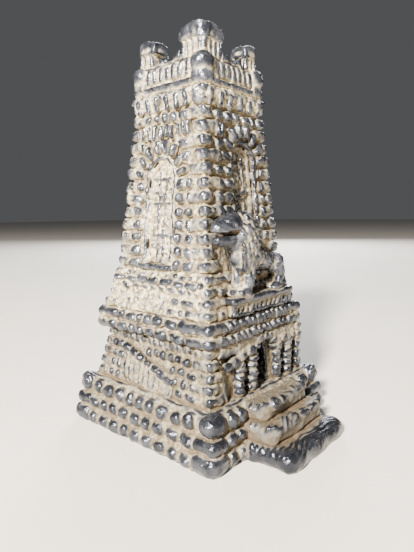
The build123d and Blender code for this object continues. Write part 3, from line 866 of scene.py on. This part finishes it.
def lion_body(clay, y, slab):
    """Body, legs and tail. The lion stands in the plane y and looks to the left."""
    for x, out, z, radii, blend in (
        (-2.6, 0, 37.4, (3.2, 2.1, 3.4), 0.5), (0.6, 0.3, 36.0, (3.8, 1.8, 2.2), 0.9),
        (3.6, 0.4, 35.4, (3.4, 1.6, 1.7), 0.9), (6.7, 0.2, 34.7, (2.7, 1.8, 2.2), 0.9),
    ):
        clay.lump((x, y + out, z), radii, blend)
    # The outer pair of legs stands a little ahead of the inner.
    for x, out in ((-3.9, -0.9), (-5.0, 0.75)):
        knee = (x + 0.1, y + out, 33.0)
        clay.add(rod((x + 0.5, y + out * 0.8, 37.0), knee, 1.5, 1.1), 0.7)
        clay.add(rod(knee, (x - 0.3, y + out, slab + 0.9), 1.1, 0.95), 0.3)
        clay.lump((x - 1.0, y + out, slab + 0.6), (1.9, 1.2, 0.95), 0.35)
        for toe in (-0.6, 0.0, 0.6):
            clay.lump((x - 2.3, y + out + toe, slab + 0.45), (0.65, 0.36, 0.5), 0.12)
    for x, out in ((6.6, -0.8), (7.8, 0.7)):
        hock = (x + 0.9, y + out, 32.2)
        clay.add(rod((x, y + out * 0.9, 34.8), hock, 1.5, 0.95), 0.6)
        clay.add(rod(hock, (x + 0.4, y + out, slab + 0.9), 0.9, 0.8), 0.3)
        clay.lump((x - 0.4, y + out, slab + 0.5), (1.7, 1.05, 0.8), 0.35)
        for toe in (-0.5, 0.0, 0.5):
            clay.lump((x - 1.75, y + out + toe, slab + 0.4), (0.55, 0.3, 0.45), 0.12)
    bend = (10.0, y + 0.4, 33.2)
    clay.add(rod((8.9, y + 0.5, 35.2), bend, 0.7, 0.6), 0.4)
    clay.add(rod(bend, (10.9, y + 0.3, 30.6), 0.6, 0.5), 0.3)
    clay.lump((11.0, y + 0.3, slab + 0.7), (0.8, 0.7, 0.95), 0.3)


def lion_head(clay, y):
    for x, out, z, radii, blend in (
        # neck and the mass of the mane, which runs down over the chest
        (-5.2, 0, 40.9, (3.7, 2.5, 3.8), 0.6), (-3.4, 0.2, 40.6, (2.7, 2.4, 3.6), 0.6),
        (-5.0, 0.2, 37.4, (2.5, 2.2, 3.3), 0.8),
        # skull, muzzle, nose, jaw and chin
        (-8.2, 0, 42.6, (3.5, 2.2, 2.4), 0.5), (-10.6, 0, 42.3, (2.7, 1.65, 1.5), 0.7),
        (-12.2, 0, 42.0, (1.05, 1.1, 0.95), 0.35), (-9.8, 0, 40.1, (3.1, 1.6, 1.35), 0.3),
        (-12.0, 0, 40.2, (1.1, 1.1, 0.9), 0.3),
    ):
        clay.lump((x, y + out, z), radii, blend)
    for side in (-1, 1):
        clay.lump((-9.7, y + side * 1.35, 43.6), (1.3, 0.65, 0.5), 0.3)  # brow
        clay.lump((-11.3, y + side * 1.0, 41.85), (1.1, 0.6, 0.65), 0.25)  # upper lip
        clay.lump((-5.7, y + side * 2.25, 42.2), (0.95, 0.75, 1.15), 0.15)  # ear
        clay.cut(egg(Axes((-9.7, y + side * 2.0, 42.75)), (0.62, 0.42, 0.34)), 0.15)  # eye socket
        clay.lump((-9.6, y + side * 1.66, 42.75), (0.36, 0.28, 0.24), 0.05)
    slope = math.atan2(-0.4, 7.0)
    along, out = (math.cos(slope), 0, -math.sin(slope)), (math.sin(slope), 0, math.cos(slope))
    clay.cut(block(Axes((-10.7, y, 41.28), along, (0, 1, 0), out), (3.2, 3.2, 0.42), 0.95), 0.2)  # mouth


def lion_mane(clay, y):
    """Locks lie in rings that fall back from the face, and run down the chest and shoulder."""
    mane = np.random.default_rng(5)
    rings = ((-6.6, 41.6, 2.7, 2.2), (-5.6, 41.3, 3.4, 2.45), (-4.4, 41.0, 3.6, 2.5), (-3.1, 40.6, 3.4, 2.35),
             (-1.9, 40.2, 2.6, 2.0))
    for ring, (centre_x, centre_z, radius, thick) in enumerate(rings):
        for angle in range(0, 360, 20):
            a = math.radians(angle + 10 * (ring % 2) + mane.uniform(-4, 4))
            side, rise = math.cos(a), math.sin(a)
            x = centre_x + 0.4 * mane.uniform(-1, 1) + 0.3 * rise
            at = (x, y + thick * side, centre_z + radius * rise)
            tuft(clay, at, (0.8, 0.45 * side, 0.3 * rise - 0.7), 1.0, 0.5)
    for row in range(6):
        for column in range(4):
            x = -6.9 + 1.25 * column + 0.2 * row + mane.uniform(-0.2, 0.2)
            z = 38.8 - 0.85 * row + mane.uniform(-0.2, 0.2)
            if z > 36.9 - 0.5 * column or column < 2:
                for side in (-1, 1):
                    tuft(clay, (x, y + side * (2.2 - 0.12 * row), z), (0.35, 0, -1), 0.9, 0.45)
        chest = (-7.2 + 0.22 * row, y + mane.uniform(-0.8, 0.8), 38.6 - 0.9 * row)
        tuft(clay, chest, (0.2, 0.1, -1), 1.1, 0.55)


def make_lion():
    _, _, clay = clay_around("lion", 1.0, 1.0)
    y = -14.7
    lion_body(clay, y, node_top("lion_slab"))
    lion_head(clay, y)
    lion_mane(clay, y)
    x = clay.whole()[0]
    behind_face = np.clip((x + 7.0) / 1.0, 0, 1)
    clay.d += 0.26 * behind_face * lattice_noise(clay.d.shape, clay.first, cell=0.75, seed=9)
    for number in range(7):  # ribs on the flank
        x = 1.0 + 0.62 * number
        top = (x, y - 1.35 + 0.05 * number, 36.8 - 0.12 * number)
        clay.add(rod(top, (x + 0.3, y - 1.2, 35.0), 0.26, 0.2), 0.25)
    return clay


# ---- the hollows ---------------------------------------------------------------------------
CORE_LOW, CORE_HIGH, CORE_TOP = 12.4, 8.6, 6.4  # half-widths of the casting's hollow, from the CAD part
HOLLOWS = {
    "plinth": [(-1, CORE_LOW), (plinth_top + 1, CORE_LOW)],
    "lower_storey": [(plinth_top - 1, CORE_LOW), (storey_top + 1, CORE_LOW)],
    "gallery_slab": [(storey_top - 3, CORE_HIGH), (gallery_top + 1, CORE_HIGH)],
    "skirt": [(gallery_top - 2, CORE_HIGH), (skirt_top + 1, CORE_HIGH)],
    "shaft": [(skirt_top - 2, CORE_HIGH + 0.1), (shaft_top + 1, CORE_TOP)],
}


# ---- make every piece ----------------------------------------------------------------------
ROUGH = {  # how uneven a piece's surface is at three sizes, where it differs from the rest
    "lion": (0.12, 0.08, 0.05), "step_bottom": (0.16, 0.05, 0.02), "step_middle": (0.16, 0.07, 0.03),
    "step_landing": (0.16, 0.08, 0.04), "belt_knobs": (0.12, 0.06, 0.03), "merlon": (0.12, 0.07, 0.04),
    "parapet_belt": (0.14, 0.10, 0.05), "plinth": (0.20, 0.10, 0.05), "gallery": (0.2, 0.10, 0.06),
    "porch": (0.20, 0.13, 0.08), "roof_deck": (0, 0, 0),
}
ROUGH_ELSEWHERE = (0.24, 0.15, 0.09)
FIRST_SEED = 40  # each piece's roughness takes three seeds, counted from here


def roughness_of(name):
    for start, amounts in ROUGH.items():
        if name.startswith(start):
            return amounts
    return ROUGH_ELSEWHERE


clays = {"plinth": make_plinth()}
clays.update(make_steps())
clays["lower_storey"] = make_storey()
clays.update(make_porch())
for face_name in ("left", "right", "back"):
    clays["side_panel_" + face_name] = make_side_panel(face_name)
clays.update(make_gallery())
clays["skirt"] = make_skirt()
clays["string_course"] = make_string_course()
clays.update(make_balcony())
clays["lion"] = make_lion()
clays["shaft"] = make_shaft()
for face_name in TURN:
    clays.update(make_niche(face_name))
clays["niche_sills"] = make_sills()
clays.update(make_crown())
clays["parapet_wall"] = make_parapet_wall()
for corner_name in ("front_left", "front_right", "back_right", "back_left"):
    clays["merlon_" + corner_name] = make_merlon(corner_name)

for number, (name, clay) in enumerate(clays.items()):
    if name in HOLLOWS:
        clay.cut(square_stack(HOLLOWS[name]))
    clay.roughen(FIRST_SEED + 3 * number, *roughness_of(name))
    if name in ("plinth", "step_bottom"):  # they stand flat on the ground
        clay.keep(lambda x, y, z, foot=node_box(name)[0][2]: foot - z + 0 * x + 0 * y)

# The share of metal around each point tells high, worn places from joints and recesses.
union_first = np.min([clay.first for clay in clays.values()], axis=0) - 2
union_last = np.max([clay.first + clay.d.shape for clay in clays.values()], axis=0) + 2
metal = np.zeros(union_last - union_first, np.float32)
for clay in clays.values():
    start = clay.first - union_first
    part = tuple(slice(a, a + n) for a, n in zip(start, clay.d.shape))
    metal[part] = np.maximum(metal[part], np.clip(0.5 - clay.d / STEP, 0, 1))
shares = {}
for label, first_reach, second_reach in (("near", 0.25, 0.35), ("wide", 0.75, 0.95), ("far", 2.0, 2.6)):
    shares[label] = box_blur(box_blur(metal, round(first_reach / STEP)), round(second_reach / STEP))

RUB = {  # how much more, or less, a piece is rubbed bare than the rest
    "plinth": 0.005, "lion": 0.09, "belt_knobs": 0.06, "step_middle": -0.05, "step_landing": -0.06,
    "parapet_belt": 0.06, "gallery_lower_course": 0.01, "gallery_upper_course": 0.005, "porch_columns": -0.03,
    "porch_arcade": -0.04, "lower_storey": -0.02, "balustrade": -0.05, "lion_slab": -0.01, "shaft": -0.012,
}


def finish_of(name, points):
    """How much each point is rubbed bare, and how much brownish dirt and painted shade it takes."""
    x, y, z = points.T
    rub = np.full(len(points), RUB.get(name, 0.0), np.float32)
    if name.startswith("merlon"):
        rub += 0.13 * np.clip((z - belt_top - 3.6) / 0.8, 0, 1)
    if name == "plinth":
        rub += 0.10 * np.clip((np.minimum(abs(x), abs(y)) - plinth_half[1] + 4.5) / 1.0, 0, 1)
    if name == "shaft" or name.startswith("niche_panel"):
        for face_name in TURN:
            niche, half, foot, spring = niche_of(face_name)
            u, v, w = niche.local(x, y, z)
            inside = (arch_outline(u, v, half, spring) < 0.3) & (v > foot - 0.5) & (w > -4) & (w < 0.5)
            rub -= inside * (-0.01 if name.startswith("niche_panel") else 0.03)
    if name == "step_bottom":
        nose = np.clip((-y - plinth_half[0] - 4.2) / 1.5, 0, 1)
        side = np.clip((abs(x) - node_half(name) + 4.0) / 1.2, 0, 1)
        rub += 0.34 * np.maximum(nose, side) - 0.22
    # Painted highlight: the corners of the shaft, skirt and storey are rubbed bare less, so they stay pale,
    # standing in for the shine on the corner stones.
    if name in ("shaft", "skirt", "lower_storey"):
        rub -= 0.04 * np.clip(np.minimum(abs(x), abs(y)) - np.maximum(abs(x), abs(y)) + 4.5, 0, 1)
    if name == "lion":
        rub += 0.10 * np.clip((-6.6 - x) / 1.2, 0, 1) * (z > 38) - 0.02
    if name == "skirt":
        rub -= 0.04 * ((z < skirt_knee) & (abs(x) > y))
    # Painted shade and painted warm bounce light: the faces that look to the front, below the crown, are
    # darkened as if in half shade, and everything low down is warmed and darkened as if by light thrown back
    # from the ground. The steps and the lion take it all over, partly as real brownish dirt, and the front
    # niche's panel is darkened as painted shade.
    brown_dirt_and_shade = np.clip((-y / np.maximum(abs(x), 6) - 0.95) / 0.2, 0, 1) * np.clip((66 - z) / 6, 0, 1)
    brown_dirt_and_shade = np.maximum(brown_dirt_and_shade, 0.88 * np.clip((29 - z) / 9, 0, 1))
    if name == "lion":
        brown_dirt_and_shade = np.full(len(points), 0.3)
    elif name.startswith("step"):
        brown_dirt_and_shade = np.full(len(points), 1.3)
    elif name.startswith("niche_panel_front"):
        brown_dirt_and_shade = np.maximum(brown_dirt_and_shade, 0.8)
    return rub, brown_dirt_and_shade


def settle(name, points):
    """The lower storey is narrower towards the back and the top."""
    if name == "lower_storey" or name.startswith("side_panel"):
        x, y, z = points.T
        high_up = np.clip((z - plinth_top) / (storey_top - plinth_top), 0, 1)
        back = np.clip((y + 16) / 32, 0, 1)
        outer = np.clip((np.maximum(abs(x), y) - 12.6) / 1.6, 0, 1)
        points = points.copy()
        points[:, 0] -= np.sign(x) * outer * (1.2 * high_up * back) * (abs(x) > 10)
        points[:, 1] -= outer * (0.8 * high_up * back) * (y > 10)
    return points


def build(name, clay):
    points, quads = surface(clay)
    rub, brown_dirt_and_shade = finish_of(name, points)
    mesh = bpy.data.meshes.new(name)
    mesh.vertices.add(len(points))
    mesh.vertices.foreach_set("co", (settle(name, points) * MM).astype(np.float32).ravel())
    mesh.loops.add(4 * len(quads))
    mesh.loops.foreach_set("vertex_index", quads.astype(np.int32).ravel())
    mesh.polygons.add(len(quads))
    mesh.polygons.foreach_set("loop_start", np.arange(0, 4 * len(quads), 4, dtype=np.int32))
    fields = {label: sample(share, union_first, points) for label, share in shares.items()}
    for label, values in {**fields, "rub": rub, "brown_dirt_and_shade": brown_dirt_and_shade}.items():
        mesh.attributes.new(label, "FLOAT", "POINT").data.foreach_set("value", values.astype(np.float32))
    mesh.update(calc_edges=True)
    mesh.validate()
    mesh.shade_smooth()
    piece = new_object(name + "_cast", mesh)
    mesh.materials.append(metal_material)
    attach(piece, "root")
    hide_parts(name)


# ---- material ------------------------------------------------------------------------------
def tree_of(material):
    material.use_nodes = True
    tree = material.node_tree
    tree.nodes.clear()
    return tree


def new_object(name, data):
    thing = bpy.data.objects.new(name, data)
    bpy.context.scene.collection.objects.link(thing)
    return thing


class Nodes:
    """Short calls that add shader nodes to one tree."""

    def __init__(self, tree):
        self.tree = tree

    def new(self, kind, **settings):
        node = self.tree.nodes.new(kind)
        for key, value in settings.items():
            setattr(node, key, value)
        return node

    def link(self, value, socket):
        if isinstance(value, bpy.types.NodeSocket):
            self.tree.links.new(value, socket)
        else:
            socket.default_value = value

    def math(self, operation, *values):
        node = self.new("ShaderNodeMath", operation=operation)
        for value, socket in zip(values, node.inputs):
            self.link(value, socket)
        return node.outputs[0]

    def attribute(self, name):
        return self.new("ShaderNodeAttribute", attribute_name=name).outputs["Fac"]

    def noise(self, where, scale, detail=3.0, roughness=0.55, distortion=0.0):
        node = self.new("ShaderNodeTexNoise")
        self.link(where, node.inputs["Vector"])
        values = {"Scale": scale, "Detail": detail, "Roughness": roughness, "Distortion": distortion}
        for label, value in values.items():
            node.inputs[label].default_value = value
        return node.outputs[0]

    def ramp(self, value, low, high):
        node = self.new("ShaderNodeMapRange", interpolation_type="SMOOTHSTEP")
        self.link(value, node.inputs["Value"])
        node.inputs["From Min"].default_value = low
        node.inputs["From Max"].default_value = high
        return node.outputs["Result"]

    def mix(self, share, first, second):
        node = self.new("ShaderNodeMix", data_type="RGBA")
        self.link(share, node.inputs["Factor"])
        self.link(first, node.inputs[6])
        self.link(second, node.inputs[7])
        return node.outputs[2]

    def finish(self, inputs):
        """A surface shader with these inputs, given to the material's output."""
        shader = self.new("ShaderNodeBsdfPrincipled")
        for label, value in inputs.items():
            self.link(value, shader.inputs[label])
        self.link(shader.outputs[0], self.new("ShaderNodeOutputMaterial").inputs[0])


CREAM_DIRT, OCHRE_DIRT, GREY_DIRT = (0.66, 0.575, 0.37, 1), (0.15, 0.118, 0.066, 1), (0.29, 0.25, 0.18, 1)
# A very dark brownish for painted shade on the front and low parts, partly real dirt on the steps and the
# lion.
BROWN_DIRT_AND_SHADE = (0.058, 0.043, 0.025, 1)
# Painted shade: dark brownish for the larger hollows, where shadow gathers in the porch and under the
# gallery, and for the joints between stones.
HOLLOW_SHADE, JOINT_SHADE = (0.10, 0.065, 0.036, 1), (0.085, 0.057, 0.030, 1)  # in hollows, and in joints
RUBBED_DIRT = (0.16, 0.155, 0.14, 1)  # a thin film around each bare place
# The third, darkest lead is painted shade on the bare metal of the front and low parts, partly grime on the
# steps and the lion.
DARK_LEAD, PALE_LEAD, GRIMED_AND_SHADED_LEAD = (0.038, 0.042, 0.056, 1), (0.18, 0.19, 0.225, 1), (0.022, 0.024, 0.031, 1)


def make_metal():
    material = bpy.data.materials.new("worn_cast_metal")
    nodes = Nodes(tree_of(material))
    where = nodes.new("ShaderNodeTexCoord").outputs["Object"]
    broad = nodes.noise(where, 90.0, 2.0, 0.5)
    coarse = nodes.noise(where, 420.0, 5.0, 0.65, 0.3)
    fine = nodes.noise(where, 1500.0, 4.0, 0.65)
    grain = nodes.noise(where, 3800.0, 2.0, 0.6)
    near, wide, far, rub, brown_dirt_and_shade = map(nodes.attribute, ("near", "wide", "far", "rub", "brown_dirt_and_shade"))

    def swing(noise, amount):
        return nodes.math("MULTIPLY", nodes.math("SUBTRACT", noise, 0.5), amount)

    # worn: places that stand proud of their neighbourhood are rubbed down to bare metal
    rise = nodes.math("SUBTRACT", 0.5, wide)
    parts = [swing(near, -0.4), swing(far, 0.2), rub, swing(broad, 0.16), swing(coarse, 0.22)]
    for part in (*parts, swing(fine, 0.18)):
        rise = nodes.math("ADD", rise, part)
    worn = nodes.ramp(rise, -0.02, 0.135)
    film = nodes.ramp(rise, -0.10, 0.04)
    # Masks for painted shade: the joints between stones, and the larger hollows, found from the share of
    # metal around each point.
    joint_shade = nodes.ramp(nodes.math("ADD", wide, swing(coarse, 0.15)), 0.58, 0.70)
    hollow_shade = nodes.ramp(nodes.math("ADD", far, swing(broad, 0.10)), 0.56, 0.72)
    dirt = nodes.mix(nodes.ramp(fine, 0.42, 0.58), OCHRE_DIRT, CREAM_DIRT)
    dirt = nodes.mix(nodes.ramp(coarse, 0.53, 0.64), dirt, GREY_DIRT)
    # Painted shade over the dirt: dark brownish on the front and low parts, partly real dirt there, and dark
    # brownish in the hollows and in the joints. The pale film around bare metal is real.
    for share, amount, stain in (
        (brown_dirt_and_shade, 0.75, BROWN_DIRT_AND_SHADE), (hollow_shade, 0.55, HOLLOW_SHADE), (joint_shade, 0.8, JOINT_SHADE), (film, 0.4, RUBBED_DIRT)
    ):
        dirt = nodes.mix(nodes.math("MULTIPLY", share, amount), dirt, stain)
    metal_colour = nodes.mix(nodes.ramp(coarse, 0.38, 0.66), DARK_LEAD, PALE_LEAD)
    # Painted shade on the bare metal: it is darkened on the front and low parts, where the surface is taken
    # to sit in shade.
    metal_colour = nodes.mix(nodes.math("MULTIPLY", brown_dirt_and_shade, 0.6), metal_colour, GRIMED_AND_SHADED_LEAD)
    colour = nodes.mix(worn, dirt, metal_colour)
    rough = nodes.math("ADD", nodes.math("MULTIPLY", nodes.math("SUBTRACT", 1.0, worn), 0.5), 0.21)
    rough = nodes.math("ADD", rough, swing(fine, 0.3))
    bump = nodes.new("ShaderNodeBump")
    bump.inputs["Strength"].default_value = 0.8
    bump.inputs["Distance"].default_value = 0.22 * MM
    height = nodes.math("ADD", nodes.math("MULTIPLY", coarse, 1.1), nodes.math("MULTIPLY", fine, 0.6))
    height = nodes.math("ADD", height, nodes.math("MULTIPLY", grain, 0.2))
    nodes.link(height, bump.inputs["Height"])
    metallic = nodes.math("MULTIPLY", worn, 0.8)
    nodes.finish({"Base Color": colour, "Metallic": metallic, "Roughness": rough, "Normal": bump.outputs[0]})
    return material


metal_material = make_metal()
for name, clay in clays.items():
    build(name, clay)


# ---- floor, light and camera ---------------------------------------------------------------
def make_floor():
    material = bpy.data.materials.new("pale_floor")
    nodes = Nodes(tree_of(material))
    where = nodes.new("ShaderNodeTexCoord").outputs["Object"]
    shade = nodes.mix(nodes.noise(where, 35.0), (0.60, 0.56, 0.50, 1), (0.66, 0.62, 0.56, 1))
    nodes.finish({"Base Color": shade, "Roughness": 0.8})
    side = 3.0
    mesh = bpy.data.meshes.new("floor")
    mesh.from_pydata([(sx * side, sy * side, 0) for sx, sy in CORNER_SIGNS], [], [(0, 1, 2, 3)])
    mesh.materials.append(material)
    new_object("floor", mesh)


LIT_POINT = (0, 0, 0.035)
LIGHTS = (  # name, place, size, power, colour
    ("key_light", (-0.445, -0.155, 0.28), 0.07, 25.5, (1.0, 0.94, 0.84)),
    ("fill_light", (0.30, -0.50, 0.25), 0.40, 0.25, (0.94, 0.97, 1.0)),
    ("back_light", (0.50, 0.36, 0.28), 0.30, 8.0, (0.97, 0.98, 1.0)),
    ("top_light", (0.1, 0.2, 0.6), 0.35, 0.7, (0.95, 0.98, 1.0)),
)
SKY_COLOUR, SKY_STRENGTH = (0.86, 0.88, 0.92, 1), 0.10
CAMERA_PLACE = (-0.07392, -0.06501, 0.04479)
CAMERA_ANGLES = (40.506, -7.796, -0.484)  # yaw from +X, pitch and roll, in degrees
LENS, SENSOR_WIDTH = 29.46, 36.0


def aim(thing, target):
    from_target = thing.location - target
    thing.rotation_euler = from_target.to_track_quat("Z", "Y").to_euler()


def soft_light(name, place, size, power, colour):
    data = bpy.data.lights.new(name, "AREA")
    data.shape, data.size, data.energy, data.color = "DISK", size, power, colour
    light = new_object(name, data)
    light.location = place
    aim(light, type(light.location)(LIT_POINT))


make_floor()
for settings in LIGHTS:
    soft_light(*settings)
world = bpy.data.worlds.new("studio")
bpy.context.scene.world = world
world_nodes = Nodes(tree_of(world))
background = world_nodes.new("ShaderNodeBackground")
background.inputs["Color"].default_value = SKY_COLOUR
background.inputs["Strength"].default_value = SKY_STRENGTH
world_output = world_nodes.new("ShaderNodeOutputWorld")
world_nodes.link(background.outputs[0], world_output.inputs[0])

camera_data = bpy.data.cameras.new("camera")
camera_data.lens, camera_data.sensor_width = LENS, SENSOR_WIDTH
camera_data.clip_start, camera_data.clip_end = 0.005, 20.0
camera = new_object("camera", camera_data)
camera.location = CAMERA_PLACE
yaw, pitch, roll = (math.radians(angle) for angle in CAMERA_ANGLES)
forward = np.array((math.cos(yaw) * math.cos(pitch), math.sin(yaw) * math.cos(pitch), math.sin(pitch)))
right = np.cross(forward, (0, 0, 1.0))
right /= np.linalg.norm(right)
up = np.cross(right, forward)
right, up = math.cos(roll) * right + math.sin(roll) * up, math.cos(roll) * up - math.sin(roll) * right
rows = [[float(c) for c in (right[i], up[i], -forward[i], camera.location[i])] for i in range(3)]
camera.matrix_world = type(camera.matrix_world)([*rows, (0, 0, 0, 1)])
bpy.context.scene.camera = camera

bpy.context.view_layer.update()
